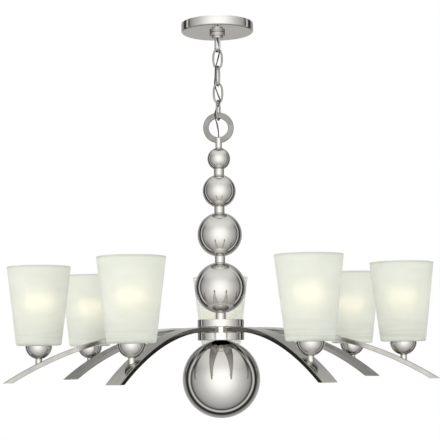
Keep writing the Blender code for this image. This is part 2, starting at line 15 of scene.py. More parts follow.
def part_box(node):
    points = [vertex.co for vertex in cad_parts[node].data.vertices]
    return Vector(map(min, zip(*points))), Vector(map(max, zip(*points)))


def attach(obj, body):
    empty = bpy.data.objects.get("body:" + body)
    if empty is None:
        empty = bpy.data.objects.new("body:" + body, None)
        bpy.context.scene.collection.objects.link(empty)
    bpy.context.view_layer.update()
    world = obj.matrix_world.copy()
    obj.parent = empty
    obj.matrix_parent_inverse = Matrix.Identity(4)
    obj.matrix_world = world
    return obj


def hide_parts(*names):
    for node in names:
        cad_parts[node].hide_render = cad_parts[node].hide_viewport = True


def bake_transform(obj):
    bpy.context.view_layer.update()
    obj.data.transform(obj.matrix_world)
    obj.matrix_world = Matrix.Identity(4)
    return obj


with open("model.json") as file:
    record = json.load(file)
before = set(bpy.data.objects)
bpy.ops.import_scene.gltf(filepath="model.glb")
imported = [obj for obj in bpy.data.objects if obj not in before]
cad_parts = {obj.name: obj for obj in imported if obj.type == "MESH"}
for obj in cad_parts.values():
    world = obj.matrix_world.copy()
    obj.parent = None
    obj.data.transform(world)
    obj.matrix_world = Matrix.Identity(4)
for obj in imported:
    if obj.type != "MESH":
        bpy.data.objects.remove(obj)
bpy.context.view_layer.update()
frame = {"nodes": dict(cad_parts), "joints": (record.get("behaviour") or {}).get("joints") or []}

# Turned pieces and rounded edges
GAP = 0.0003
ROUND = 96
EDGE = 0.0005
ARC_STEPS = 5
SHARP_DEG = 38

# Threaded pipe, and the holes that clear it and the cord
PIPE_CLEAR_R = 0.0056
CORD_HOLE_R = 0.0024

# Screws and nut of the ceiling mount
SCREW_HEAD_R = 0.0042
SCREW_HEAD_H = 0.0024
SCREW_X = 0.04445
GROUND_SCREW_X = 0.026
GROUND_SCREW_SHARE = 0.8
NUT_R = 0.0095
NUT_H = 0.0035

# Canopy, collar and loop
CANOPY_WALL = 0.0015
LOOP_BODY_R = 0.012
LOOP_BODY_BOTTOM = -0.033
LOOP_BORE_BOTTOM = -0.027
LOOP_WIRE_Z = -0.0613
LOOP_TURN = math.radians(118)

# Chain: wire, half width and half height of a link at the middle of its wire, and each link's turn
WIRE_R = 0.0021
LINK_HALF_WIDTH = 0.0093
LINK_HALF_HEIGHT = 0.021
LINK_ROUNDNESS = 2.35
LINK_TURNS = (0.0, math.radians(110), 0.0, math.radians(70))

# Supply cord, and the route that the frame's own cord takes
CORD_R = 0.0016
CORD_STEP = 0.002
CORD_TWIST = math.radians(11)
CORD_ROUTE = (
    (0.0, 0.0, -0.0015),
    (0.0, 0.0, -0.0180),
    (0.0, 0.0, -0.0330),
    (0.0024, 0.0034, -0.0460),
    (0.0041, 0.0059, -0.0590),
    (0.0006, 0.0008, -0.0780),
    (-0.0041, -0.0059, -0.0965),
    (-0.0058, -0.0008, -0.1150),
    (-0.0066, 0.0045, -0.1340),
    (-0.0012, -0.0008, -0.1530),
    (0.0041, -0.0059, -0.1715),
    (-0.0015, -0.0044, -0.1840),
    (-0.0066, -0.0060, -0.1960),
    (-0.0065, -0.0060, -0.2080),
    (-0.0026, -0.0030, -0.2220),
    (0.0, 0.0, -0.2390),
    (0.0, 0.0, -0.2600),
    (0.0, 0.0, -0.4500),
    (0.0, 0.0, -0.6400),
    (0.0, 0.0, -0.6560),
    (0.0008, 0.0, -0.6630),
    (0.0040, 0.0, -0.6675),
    (0.0095, 0.0, -0.6690),
)

# Ring and coupling
RING_INNER_R = 0.02075
COUPLING_BORE_R = 0.00545
COUPLING_WEB = 0.002

# Stem and hub
BALL_WALL = 0.0015
BALL_SEAT_R = 0.0116
FIRST_SEAT_R = 0.0076
HUB_FLOOR_TOP = -0.6685
HUB_POCKET_R = 0.030
HUB_POCKET_BOTTOM = -0.678
SLOT_WIDTH = 0.033

# Arms
ARM_COUNT = 7
ARM_THICK = 0.0095
ARM_WALL = 0.0016
ARM_BEND_START = 0.084
ARM_CORNER = 0.0011
ARM_STATIONS = 44

# Lamps
POST_R = 0.00675
POST_BORE_R = 0.0028
SHADE_BOTTOM_R = 0.0464
SHADE_CORNER = 0.005
SHADE_WALL = 0.003
SHADE_HOLE_R = 0.020
SOCKET_BORE_R = 0.0138
SOCKET_FLOOR = -0.680
SHADE_RING_R = 0.025
SHADE_RING_H = 0.005
BULB_R = 0.030
BULB_BASE_R = 0.0126
BULB_BASE_TOP = -0.651
THREAD_PITCH = 0.0036
THREAD_DEPTH = 0.0005

# Floor, and the camera's place, tilt, roll and lens
FLOOR_Z = -4.6
FLOOR_R = 20.0
CAMERA_PLACE = (0.001, -2.914, -0.716)
CAMERA_TILT = math.radians(90 + 5.64)
CAMERA_ROLL = math.radians(-0.7)
CAMERA_LENS = 111.9

# Studio, as (turn from its front to its back, brightness)
STUDIO = ((0.0, 1.6), (0.15, 1.35), (0.32, 0.80), (0.52, 0.40), (0.57, 0.03), (0.61, 0.90),
          (0.66, 0.03), (0.71, 0.03), (0.77, 0.35), (1.0, 0.60))

# Satin plating of the arms: its dark and its light streaks
ARM_TINTS = ((0.46, 0.455, 0.44), (0.62, 0.612, 0.595))


# Mesh helpers -------------------------------------------------------------------------------

def arc(centre, radius, start_deg, end_deg, steps):
    """Points (a, b, 0) along an arc, both ends included, with no rounding of their own."""
    points = []
    for i in range(steps + 1):
        angle = math.radians(start_deg + (end_deg - start_deg) * i / steps)
        points.append((centre[0] + radius * math.cos(angle),
                       centre[1] + radius * math.sin(angle), 0))
    return points


def rounded(corners, steps=ARC_STEPS):
    """Outline through corners (a, b, radius), each rounded by an arc where its radius isn't 0."""
    outline = []
    for i, (a, b, radius) in enumerate(corners):
        here = Vector((a, b))
        if radius == 0:
            outline.append(here)
            continue
        back = Vector(corners[i - 1][:2]) - here
        ahead = Vector(corners[(i + 1) % len(corners)][:2]) - here
        half = back.angle(ahead) / 2
        reach = min(radius / math.tan(half), 0.45 * back.length, 0.45 * ahead.length)
        bisector = (back.normalized() + ahead.normalized()).normalized()
        centre = here + bisector * reach / math.cos(half)
        start = here + back.normalized() * reach - centre
        end = here + ahead.normalized() * reach - centre
        sweep = start.angle(end)
        for k in range(steps + 1):
            share = k / steps
            spoke = start * math.sin((1 - share) * sweep) + end * math.sin(share * sweep)
            outline.append(centre + spoke / math.sin(sweep))
    return outline


def smooth_mesh(name, bm):
    """Smooth mesh from a bmesh, which it frees."""
    bmesh.ops.recalc_face_normals(bm, faces=bm.faces)
    mesh = bpy.data.meshes.new(name)
    bm.to_mesh(mesh)
    bm.free()
    mesh.shade_smooth()
    mesh.set_sharp_from_angle(angle=math.radians(SHARP_DEG))
    return mesh


def loft(name, rings, closed=False, capped=False):
    """Mesh through rings of points. A ring of one point is a pole."""
    bm = bmesh.new()
    rows = [[bm.verts.new(point) for point in ring] for ring in rings]
    sides = max(len(row) for row in rows)
    for row, follower in zip(rows, rows[1:] + rows[:1] if closed else rows[1:]):
        for i in range(sides):
            j = (i + 1) % sides
            corners = (row[i % len(row)], row[j % len(row)],
                       follower[j % len(follower)], follower[i % len(follower)])
            bm.faces.new(list(dict.fromkeys(corners)))
    if capped:
        bm.faces.new(rows[0])
        bm.faces.new(rows[-1])
    return smooth_mesh(name, bm)


def turned(name, corners, segments=ROUND):
    """Body of revolution about Z. Its outline starts and ends at radius 0, or else is a loop."""
    rings = []
    for radius, z in rounded(corners):
        if radius < 1e-6:
            rings.append([Vector((0.0, 0.0, z))])
            continue
        angles = [2 * math.pi * i / segments for i in range(segments)]
        rings.append([Vector((radius * math.cos(a), radius * math.sin(a), z)) for a in angles])
    return loft(name, rings, closed=len(rings[0]) > 1)


def swept(name, path, outline, closed=False, twist=0.0, end_round=0.0):
    """Outline of (a, b) points carried along a path, with rounded ends if it is open."""
    count = len(path)
    tangents = [(path[(i + 1) % count] - path[i - 1]).normalized() for i in range(count)]
    if not closed:
        tangents[0] = (path[1] - path[0]).normalized()
        tangents[-1] = (path[-1] - path[-2]).normalized()
    side = tangents[0].orthogonal().normalized()
    rings = []
    for i, (point, tangent) in enumerate(zip(path, tangents)):
        side = (side - side.project(tangent)).normalized()
        across = Matrix.Rotation(twist * i, 3, tangent) @ side
        up = tangent.cross(across)
        stations = [(0.0, 1.0)]
        if end_round and i in (0, count - 1):
            turns = [math.radians(deg) for deg in (0, 30, 60, 80)]
            sign = 1 if i else -1
            stations = [(sign * end_round * math.sin(t), 1 - end_round / WIRE_R * (1 - math.cos(t)))
                        for t in (turns if i else turns[::-1])]
        for shift, scale in stations:
            rings.append([point + shift * tangent + scale * (a * across + b * up)
                          for a, b in outline])
    return loft(name, rings, closed=closed, capped=not closed)


def circle(radius, sides):
    """Points (a, b) round a circle."""
    angles = [2 * math.pi * (k + 0.5) / sides for k in range(sides)]
    return [(radius * math.cos(a), radius * math.sin(a)) for a in angles]


def piece(name, mesh, material, body, stands_for=(), matrix=None):
    """Put a mesh in the scene as a piece that rides on a body."""
    made = bpy.data.objects.new(name, mesh)
    bpy.context.scene.collection.objects.link(made)
    if not mesh.materials:
        mesh.materials.append(material)
    if matrix is not None:
        made.matrix_world = matrix
    weighted = made.modifiers.new("even_shading", "WEIGHTED_NORMAL")
    weighted.keep_sharp = True
    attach(made, body)
    if stands_for:
        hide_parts(*stands_for)
    return made


def soften(made, width, segments=2):
    """Small bevel on the piece's sharp edges, before its shading is evened."""
    bevel = made.modifiers.new("edges", "BEVEL")
    bevel.width = width
    bevel.segments = segments
    bevel.limit_method = "ANGLE"
    bevel.angle_limit = math.radians(SHARP_DEG)
    made.modifiers.move(len(made.modifiers) - 1, 0)
    return made


# Materials ----------------------------------------------------------------------------------

def principled(name, colour, roughness, metallic=0.0):
    """New material, with its node tree, shader, and the object's own coordinates."""
    material = bpy.data.materials.new(name)
    material.use_nodes = True
    tree = material.node_tree
    shader = tree.nodes["Principled BSDF"]
    shader.inputs["Base Color"].default_value = (*colour, 1.0)
    shader.inputs["Roughness"].default_value = roughness
    shader.inputs["Metallic"].default_value = metallic
    coordinates = tree.nodes.new("ShaderNodeTexCoord").outputs["Object"]
    return material, tree, shader, coordinates


def noise(tree, coordinates, scale, detail=3.0, distortion=0.0):
    """Noise texture's value."""
    texture = tree.nodes.new("ShaderNodeTexNoise")
    texture.inputs["Scale"].default_value = scale
    texture.inputs["Detail"].default_value = detail
    texture.inputs["Distortion"].default_value = distortion
    tree.links.new(coordinates, texture.inputs["Vector"])
    return texture.outputs["Fac"]


def stretched(tree, coordinates, scale):
    """Coordinates scaled by a different amount along each axis."""
    mapping = tree.nodes.new("ShaderNodeMapping")
    mapping.inputs["Scale"].default_value = scale
    tree.links.new(coordinates, mapping.inputs["Vector"])
    return mapping.outputs["Vector"]


def spread(tree, value, low, high, source=(0.3, 0.7)):
    """Value mapped from a source range to another range."""
    ranged = tree.nodes.new("ShaderNodeMapRange")
    ranged.inputs["From Min"].default_value = source[0]
    ranged.inputs["From Max"].default_value = source[1]
    ranged.inputs["To Min"].default_value = low
    ranged.inputs["To Max"].default_value = high
    tree.links.new(value, ranged.inputs["Value"])
    return ranged.outputs["Result"]


def ramp(tree, value, stops):
    """Colour ramp through (position, colour) stops."""
    made = tree.nodes.new("ShaderNodeValToRGB")
    elements = made.color_ramp.elements
    while len(elements) < len(stops):
        elements.new(0.5)
    for element, (position, colour) in zip(elements, stops):
        element.position = position
        element.color = (*colour, 1.0)
    tree.links.new(value, made.inputs["Fac"])
    return made.outputs["Color"]


def bump(tree, shader, height, strength, distance):
    """Bump on the shader from a height."""
    made = tree.nodes.new("ShaderNodeBump")
    made.inputs["Strength"].default_value = strength
    made.inputs["Distance"].default_value = distance
    tree.links.new(height, made.inputs["Height"])
    tree.links.new(made.outputs["Normal"], shader.inputs["Normal"])


def math_node(tree, operation, first, second=None):
    """Math node on a socket and, if given, a number or another socket."""
    made = tree.nodes.new("ShaderNodeMath")
    made.operation = operation
    tree.links.new(first, made.inputs[0])
    if isinstance(second, (int, float)):
        made.inputs[1].default_value = second
    elif second is not None:
        tree.links.new(second, made.inputs[1])
    return made.outputs["Value"]


def grey(value):
    """Neutral colour, very slightly warm."""
    return (value, value * 0.995, value * 0.975)


def mix(tree, share, first, second):
    """Colour mixed between two colours."""
    made = tree.nodes.new("ShaderNodeMix")
    made.data_type = "RGBA"
    tree.links.new(share, made.inputs["Factor"])
    tree.links.new(first, made.inputs["A"])
    tree.links.new(second, made.inputs["B"])
    return made.outputs["Result"]


def shaded(tree, tint, level, stops):
    """Tint darkened by (level, brightness) stops."""
    made = tree.nodes.new("ShaderNodeMix")
    made.data_type = "RGBA"
    made.blend_type = "MULTIPLY"
    made.inputs["Factor"].default_value = 1.0
    tree.links.new(tint, made.inputs["A"])
    tree.links.new(ramp(tree, level, [(at, grey(value)) for at, value in stops]),
                   made.inputs["B"])
    return made.outputs["Result"]


def axis(tree, coordinates, name):
    """One of the coordinates."""
    parts = tree.nodes.new("ShaderNodeSeparateXYZ")
    tree.links.new(coordinates, parts.inputs["Vector"])
    return parts.outputs[name]


def coat(tree, shader, tint, roughness):
    """Give the shader its tint and its roughness."""
    tree.links.new(tint, shader.inputs["Base Color"])
    tree.links.new(roughness, shader.inputs["Roughness"])


def nickel_material(name, light, dark, smooth, dull, grain):
    """Plated nickel, whose tint drifts, with faint dull smears and a fine grain over the polish."""
    material, tree, shader, coordinates = principled(name, light, smooth, 1.0)
    tint = ramp(tree, noise(tree, coordinates, 7.0, 4.0, 0.6), ((0.35, dark), (0.62, light)))
    tree.links.new(tint, shader.inputs["Base Color"])
    smears = noise(tree, stretched(tree, coordinates, (1.0, 1.0, 0.45)), 48.0, 6.0, 1.2)
    tree.links.new(spread(tree, smears, smooth, dull), shader.inputs["Roughness"])
    bump(tree, shader, noise(tree, coordinates, 520.0, 2.0), grain, 0.0002)
    return material


def arm_material():
    """Drawn nickel tube of the arms: fine lengthwise streaks, and painted shade on edges and sides.
    """
    material, tree, shader, coordinates = principled("arm_nickel", (0.62, 0.61, 0.59), 0.3, 1.0)
    streaks = noise(tree, stretched(tree, coordinates, (0.06, 1.0, 0.06)), 520.0, 4.0, 0.4)
    tint = ramp(tree, streaks, ((0.3, ARM_TINTS[0]), (0.7, ARM_TINTS[1])))
    # Painted shade: the tint darkens towards the edges and over the side faces, by distance across
    # the arm.
    half = SLOT_WIDTH / 2
    sideways = math_node(tree, "ABSOLUTE", axis(tree, coordinates, "Y"))
    across = math_node(tree, "DIVIDE", sideways, half)
    tint = shaded(tree, tint, across,
                  ((0.0, 1.0), (0.80, 0.97), (0.93, 0.80), (1.0, 0.74)))
    coat(tree, shader, tint, spread(tree, noise(tree, coordinates, 60.0, 4.0), 0.07, 0.15))
    bump(tree, shader, streaks, 0.06, 0.0002)
    return material


def brushed_material():
    """Satin nickel of the ring, brushed in circles round its own axis, with painted shade at its
    rims.
    """
    material, tree, shader, coordinates = principled("satin_nickel", (0.40, 0.39, 0.37), 0.3, 1.0)
    flat = stretched(tree, coordinates, (1.0, 1.0, 0.0))
    length = tree.nodes.new("ShaderNodeVectorMath")
    length.operation = "LENGTH"
    tree.links.new(flat, length.inputs[0])
    rings = tree.nodes.new("ShaderNodeTexNoise")
    rings.noise_dimensions = "1D"
    rings.inputs["Scale"].default_value = 2600.0
    rings.inputs["Detail"].default_value = 4.0
    tree.links.new(length.outputs["Value"], rings.inputs["W"])
    tint = ramp(tree, noise(tree, coordinates, 60.0, 5.0),
                ((0.3, (0.225, 0.222, 0.216)), (0.7, (0.305, 0.302, 0.294))))
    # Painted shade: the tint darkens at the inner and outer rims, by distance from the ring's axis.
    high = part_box("suspension_ring")[1]
    inner = RING_INNER_R / high.x
    reach = math_node(tree, "DIVIDE", length.outputs["Value"], high.x)
    tint = shaded(tree, tint, reach,
                  ((0.0, 0.78), (inner + 0.01, 0.80), (inner + 0.06, 1.0), (0.94, 1.0),
                   (0.99, 0.80)))
    coat(tree, shader, tint, spread(tree, rings.outputs["Fac"], 0.24, 0.40))
    bump(tree, shader, rings.outputs["Fac"], 0.25, 0.0001)
    return material


def steel_material():
    """Zinc-plated steel, with the spangle and dull patches of a hidden part."""
    material, tree, shader, coordinates = principled("zinc_steel", (0.55, 0.56, 0.56), 0.35, 1.0)
    spangle = tree.nodes.new("ShaderNodeTexVoronoi")
    spangle.inputs["Scale"].default_value = 260.0
    tree.links.new(coordinates, spangle.inputs["Vector"])
    tint = ramp(tree, spangle.outputs["Distance"],
                ((0.1, (0.62, 0.62, 0.60)), (0.8, (0.44, 0.45, 0.46))))
    coat(tree, shader, tint, spread(tree, noise(tree, coordinates, 90.0, 5.0), 0.26, 0.48))
    bump(tree, shader, noise(tree, coordinates, 700.0, 3.0), 0.15, 0.0002)
    return material


def thread_material(name, bright, dull):
    """Threaded metal: the thread is a fine wave along Z, with painted shade in its darker roots."""
    material, tree, shader, coordinates = principled(name, bright, 0.3, 1.0)
    wave = tree.nodes.new("ShaderNodeTexWave")
    wave.bands_direction = "Z"
    wave.inputs["Scale"].default_value = 300.0
    wave.inputs["Distortion"].default_value = 0.3
    tree.links.new(coordinates, wave.inputs["Vector"])
    # Painted shade: the thread's roots take the darker dull colour.
    tree.links.new(ramp(tree, wave.outputs["Fac"], ((0.15, dull), (0.6, bright))),
                   shader.inputs["Base Color"])
    tree.links.new(spread(tree, noise(tree, coordinates, 150.0, 4.0), 0.25, 0.45),
                   shader.inputs["Roughness"])
    bump(tree, shader, wave.outputs["Fac"], 0.7, 0.0005)
    return material


def etched_material():
    """Etched glass of the shades: milky, faintly green, and cloudy where the etch is deeper."""
    material, tree, shader, coordinates = principled("etched_glass", (0.88, 0.95, 0.86), 0.5)
    shader.inputs["Transmission Weight"].default_value = 0.35
    shader.inputs["IOR"].default_value = 1.25
    shader.inputs["Specular IOR Level"].default_value = 0.3
    # Painted light: a faint glow of the glass itself, standing for the bulbs' light scattered in
    # it.
    shader.inputs["Emission Color"].default_value = (0.93, 1.0, 0.92, 1.0)
    shader.inputs["Emission Strength"].default_value = 0.03
    clouds = noise(tree, stretched(tree, coordinates, (1.0, 1.0, 2.2)), 16.0, 5.0, 0.8)
    tint = ramp(tree, clouds, ((0.3, (0.88, 0.912, 0.870)), (0.7, (0.93, 0.957, 0.925))))
    # Darker at the foot and at the rim: partly the deeper tint of the thick glass there, partly
    # painted shade.
    low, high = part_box("shade_1")
    height = spread(tree, axis(tree, coordinates, "Z"), 0.0, 1.0, (low.z, high.z))
    tint = shaded(tree, tint, height,
                  ((0.0, 0.86), (0.03, 0.97), (0.30, 1.0), (0.965, 1.0), (0.985, 0.84),
                   (1.0, 0.80)))
    # Painted reflection: faint dark horizontal streaks near the foot, fading out higher up, as the
    # thick foot mirrors its surroundings.
    streaks = noise(tree, stretched(tree, coordinates, (1.0, 1.0, 26.0)), 9.0, 3.0, 0.3)
    faded = spread(tree, height, 0.0, 0.09, (0.34, 0.08))
    level = math_node(tree, "MULTIPLY", spread(tree, streaks, 0.0, 1.0, (0.42, 0.62)), faded)
    tint = shaded(tree, tint, level, ((0.0, 1.0), (0.09, 0.90), (1.0, 0.90)))
    coat(tree, shader, tint, spread(tree, noise(tree, coordinates, 70.0, 4.0), 0.40, 0.52))
    bump(tree, shader, noise(tree, coordinates, 1500.0, 2.0), 0.12, 0.0002)
    return material


def lamp_material():
    """Lit, inside-frosted bulb glass: hottest round the middle of the bulb, cooler at its neck."""
    material, tree, shader, coordinates = principled("lamp_glass", (0.98, 0.94, 0.86), 0.35)
    low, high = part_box("bulb_1")
    level = spread(tree, axis(tree, coordinates, "Z"), 0.0, 1.0, (low.z, high.z))
    glow = ramp(tree, level, ((0.30, (0.16, 0.12, 0.07)), (0.46, (0.34, 0.27, 0.17)),
                              (0.62, (1.15, 0.93, 0.62)), (0.74, (1.15, 0.93, 0.62)),
                              (0.88, (0.42, 0.33, 0.21)), (1.0, (0.26, 0.20, 0.12))))
    tree.links.new(glow, shader.inputs["Emission Color"])
    shader.inputs["Emission Strength"].default_value = 1.5
    frost = noise(tree, coordinates, 400.0, 3.0)
    tree.links.new(spread(tree, frost, 0.28, 0.42), shader.inputs["Roughness"])
    bump(tree, shader, frost, 0.08, 0.0002)
    return material


def porcelain_material():
    """Glazed porcelain of the sockets, slightly speckled."""
    material, tree, shader, coordinates = principled("socket_porcelain", (0.86, 0.85, 0.80), 0.35)
    specks = noise(tree, coordinates, 600.0, 5.0)
    tint = ramp(tree, specks, ((0.32, (0.72, 0.70, 0.64)), (0.5, (0.88, 0.87, 0.82))))
    coat(tree, shader, tint, spread(tree, noise(tree, coordinates, 80.0), 0.25, 0.45))
    bump(tree, shader, specks, 0.05, 0.0002)
    return material


def jacket_material():
    """Silvery plastic cord jacket, in which the strands show as streaks."""
    material, tree, shader, coordinates = principled("cord_jacket", (0.45, 0.44, 0.42), 0.35)
    shader.inputs["Metallic"].default_value = 0.2
    streaks = noise(tree, stretched(tree, coordinates, (1.0, 1.0, 0.25)), 1400.0, 4.0, 0.5)
    tint = ramp(tree, streaks, ((0.35, (0.02, 0.02, 0.022)), (0.65, (0.10, 0.098, 0.098))))
    coat(tree, shader, tint, spread(tree, streaks, 0.28, 0.45))
    bump(tree, shader, streaks, 0.3, 0.0002)
    return material


NICKEL = nickel_material("polished_nickel", (0.71, 0.70, 0.68), (0.65, 0.64, 0.615),
                         0.03, 0.085, 0.02)
# Painted shade: a darker copy of the polished nickel, for the ring nut and the loop body.
COLLAR_SHADED_NICKEL = nickel_material("collar_shaded_nickel", (0.60, 0.59, 0.565), (0.36, 0.35, 0.335),
                                0.05, 0.12, 0.03)
# Painted shade: a darker copy of the polished nickel, for the chain links and the loop wire.
CHAIN_SHADED_NICKEL = nickel_material("chain_shaded_nickel", (0.50, 0.49, 0.47), (0.26, 0.255, 0.245),
                               0.06, 0.14, 0.05)
ARM_NICKEL = arm_material()
GREEN = nickel_material("green_screw", (0.10, 0.36, 0.16), (0.06, 0.24, 0.10), 0.25, 0.45, 0.05)
SATIN = brushed_material()
STEEL = steel_material()
BRASS = thread_material("brass_thread", (0.74, 0.59, 0.33), (0.42, 0.31, 0.15))
PIPE = thread_material("steel_thread", (0.58, 0.58, 0.57), (0.30, 0.30, 0.30))
BASE_METAL = thread_material("lamp_base_metal", (0.76, 0.74, 0.68), (0.45, 0.43, 0.38))
ETCHED = etched_material()
LAMP_GLASS = lamp_material()
PORCELAIN = porcelain_material()
JACKET = jacket_material()


# Ceiling mount, canopy and loop -------------------------------------------------------------

def build_ceiling_mount():
    """Strap and nipple in their frame shapes, and the screws and the nipple nut that are added."""
    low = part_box("mounting_strap")[0]
    for node, material, slot in (("mounting_strap", STEEL, "zinc_steel"),
                                 ("mounting_nipple", BRASS, "brass_thread")):
        dress(node, material)
    top = low.z - GAP
    under = top - SCREW_HEAD_H
    corners = ((0, top, 0), (SCREW_HEAD_R, top, 0.0002), (SCREW_HEAD_R, top - 0.0008, 0.0006),
               (0.0022, under, 0.0008), (0, under, 0))
    for side, x in (("left", -SCREW_X), ("right", SCREW_X)):
        head = piece(f"strap_screw_{side}", turned(f"strap_screw_{side}", corners, 32), STEEL,
                     "ceiling_mount", matrix=Matrix.Translation((x, 0.0, 0.0)))
        cross_slots(head, under, SCREW_HEAD_R)
    ground = tuple((GROUND_SCREW_SHARE * r, z, f) for r, z, f in corners)
    head = piece("ground_screw", turned("ground_screw", ground, 32), GREEN, "ceiling_mount",
                 matrix=Matrix.Translation((GROUND_SCREW_X, 0.0, 0.0)))
    cross_slots(head, under, SCREW_HEAD_R)
    nut = ((PIPE_CLEAR_R, top, 0), (NUT_R, top, 0.0006), (NUT_R, top - NUT_H, 0.0006),
           (PIPE_CLEAR_R, top - NUT_H, 0))
    piece("nipple_nut", turned("nipple_nut", nut, 6), BRASS, "ceiling_mount")


def cross_slots(head, bottom, head_r):
    """Cut a cross recess into the underside of a screw head."""
    depth = 0.0009
    for i in range(2):
        half = Vector((0.62 * head_r, 0.00035, depth))
        if i:
            half.x, half.y = half.y, half.x
        bm = bmesh.new()
        bmesh.ops.create_cube(bm, size=2.0)
        bmesh.ops.scale(bm, vec=half, verts=bm.verts)
        bmesh.ops.translate(bm, vec=(0.0, 0.0, bottom), verts=bm.verts)
        cut_away(head, bm)


def cut_away(target, bm):
    """Cut a bmesh out of a piece, and leave the result in the piece's own mesh."""
    mesh = bpy.data.meshes.new("cutter")
    bm.to_mesh(mesh)
    bm.free()
    cutter = bpy.data.objects.new("cutter", mesh)
    bpy.context.scene.collection.objects.link(cutter)
    cutter.matrix_world = target.matrix_world
    boolean = target.modifiers.new("cut", "BOOLEAN")
    boolean.operation = "DIFFERENCE"
    boolean.solver = "EXACT"
    boolean.object = cutter
    target.modifiers.move(len(target.modifiers) - 1, 0)
    for modifier in list(target.modifiers)[1:]:
        modifier.show_viewport = False
    bpy.context.view_layer.update()
    graph = bpy.context.evaluated_depsgraph_get()
    result = bpy.data.meshes.new_from_object(target.evaluated_get(graph))
    target.modifiers.remove(boolean)
    for modifier in target.modifiers:
        modifier.show_viewport = True
    target.data = result
    target.data.set_sharp_from_angle(angle=math.radians(SHARP_DEG))
    bpy.data.objects.remove(cutter)


def dress(node, material):
    """Give a frame node that stays in view its finish."""
    shown = frame["nodes"][node]
    shown.data.materials.clear()
    shown.data.materials.append(material)


def build_canopy():
    """Canopy with rounded rims, and the ring nut that holds it up."""
    low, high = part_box("canopy")
    radius = high.x
    inner = radius - CANOPY_WALL
    floor = low.z + CANOPY_WALL
    hole = LOOP_BODY_R + 2 * GAP
    corners = ((hole, low.z, EDGE), (radius, low.z, 0.0042), (radius, -0.0032, 0.0004),
               (radius - 0.0005, -0.0029, 0.0002), (radius - 0.0005, 0.0, 0.0003),
               (inner, 0.0, 0.0003), (inner, floor, 0.003), (hole, floor, EDGE))
    piece("canopy_shell", turned("canopy_shell", corners, 160), NICKEL, "canopy",
          ("canopy",))
    low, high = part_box("collar_ring")
    bore = LOOP_BODY_R + EDGE
    waist = (low.z + high.z) / 2
    groove = 0.0007
    corners = ((bore, high.z, EDGE), (high.x, high.z, 0.0008), (high.x, waist + groove, 0.0006),
               (high.x - groove, waist, 0.0005), (high.x, waist - groove, 0.0006),
               (high.x, low.z, 0.0022), (bore, low.z, EDGE))
    piece("ring_nut", turned("ring_nut", corners), COLLAR_SHADED_NICKEL, "canopy",
          ("collar_ring",))


def build_loop():
    """Bored loop body, and the bent wire that is brazed into it."""
    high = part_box("canopy_loop")[1]
    corners = ((PIPE_CLEAR_R, high.z, EDGE), (LOOP_BODY_R, high.z, EDGE),
               (LOOP_BODY_R, LOOP_BODY_BOTTOM, 0.0014), (CORD_HOLE_R, LOOP_BODY_BOTTOM, EDGE),
               (CORD_HOLE_R, LOOP_BORE_BOTTOM, 0), (PIPE_CLEAR_R, LOOP_BORE_BOTTOM, 0))
    piece("loop_body", turned("loop_body", corners), COLLAR_SHADED_NICKEL, "loop",
          ("canopy_loop",))
    root = LOOP_BODY_BOTTOM + 0.0025
    bend_z = LOOP_WIRE_Z + LINK_HALF_WIDTH
    bend = arc((0.0, bend_z), LINK_HALF_WIDTH, 180, 360, 40)
    legs = [(-LINK_HALF_WIDTH, root + (bend_z - root) * k / 6) for k in range(6)]
    path = [Vector((a, 0.0, b)) for a, b in legs]
    path += [Vector((a, 0.0, b)) for a, b, _ in bend]
    path += [Vector((-a, 0.0, b)) for a, b in reversed(legs)]
    piece("loop_wire", swept("loop_wire", path, circle(WIRE_R, 24)), CHAIN_SHADED_NICKEL, "loop",
          matrix=Matrix.Rotation(LOOP_TURN, 4, "Z"))


# Chain, cord, ring --------------------------------------------------------------------------

def link_path():
    """Oval wire path, widest at its middle, which starts and ends at a butt joint on one side."""
    steps = 120
    gap = math.radians(0.9)
    power = 2 / LINK_ROUNDNESS
    path = []
    for i in range(steps + 1):
        angle = gap + (2 * math.pi - 2 * gap) * i / steps
        across = math.copysign(abs(math.cos(angle)) ** power, math.cos(angle))
        along = math.copysign(abs(math.sin(angle)) ** power, math.sin(angle))
        path.append(Vector((LINK_HALF_WIDTH * across, 0.0, LINK_HALF_HEIGHT * along)))
    return even_path(path, steps)


def even_path(path, steps):
    """Path resampled into equal steps along its length."""
    lengths = [0.0]
    for a, b in zip(path, path[1:]):
        lengths.append(lengths[-1] + (b - a).length)
    even = []
    k = 0
    for i in range(steps + 1):
        target = lengths[-1] * i / steps
        while k < len(path) - 2 and lengths[k + 1] < target:
            k += 1
        share = (target - lengths[k]) / (lengths[k + 1] - lengths[k])
        even.append(path[k].lerp(path[k + 1], share))
    return even


def build_chain():
    """Four open links, each bent from one length of wire with its ends butted at one side."""
    mesh = swept("link_wire", link_path(), circle(WIRE_R, 24), end_round=0.0005)
    for i, turn in enumerate(LINK_TURNS):
        low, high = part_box(f"chain_link_{i + 1}")
        middle = Matrix.Translation((0.0, 0.0, (low.z + high.z) / 2))
        flip = Matrix.Rotation(math.pi * (i // 2), 4, "Z")
        piece(f"link_wire_{i + 1}", mesh, CHAIN_SHADED_NICKEL, f"link_{i + 1}",
              (f"chain_link_{i + 1}",), middle @ Matrix.Rotation(turn, 4, "Z") @ flip)


def smooth_route(route, step):
    """Points on one smooth curve through the points of a route, about a step apart."""
    points = [Vector(p) for p in route]
    ends = [2 * points[0] - points[1], *points, 2 * points[-1] - points[-2]]
    fine = []
    for p0, p1, p2, p3 in zip(ends, ends[1:], ends[2:], ends[3:]):
        length = (p2 - p1).length
        tangent_1 = (p2 - p0) / ((p2 - p1).length + (p1 - p0).length) * length
        tangent_2 = (p3 - p1) / ((p3 - p2).length + (p2 - p1).length) * length
        pieces = max(2, round(length / step))
        for k in range(pieces):
            t = k / pieces
            fine.append((2 * t ** 3 - 3 * t ** 2 + 1) * p1 + (t ** 3 - 2 * t ** 2 + t) * tangent_1
                        + (3 * t ** 2 - 2 * t ** 3) * p2 + (t ** 3 - t ** 2) * tangent_2)
    fine.append(points[-1])
    return fine


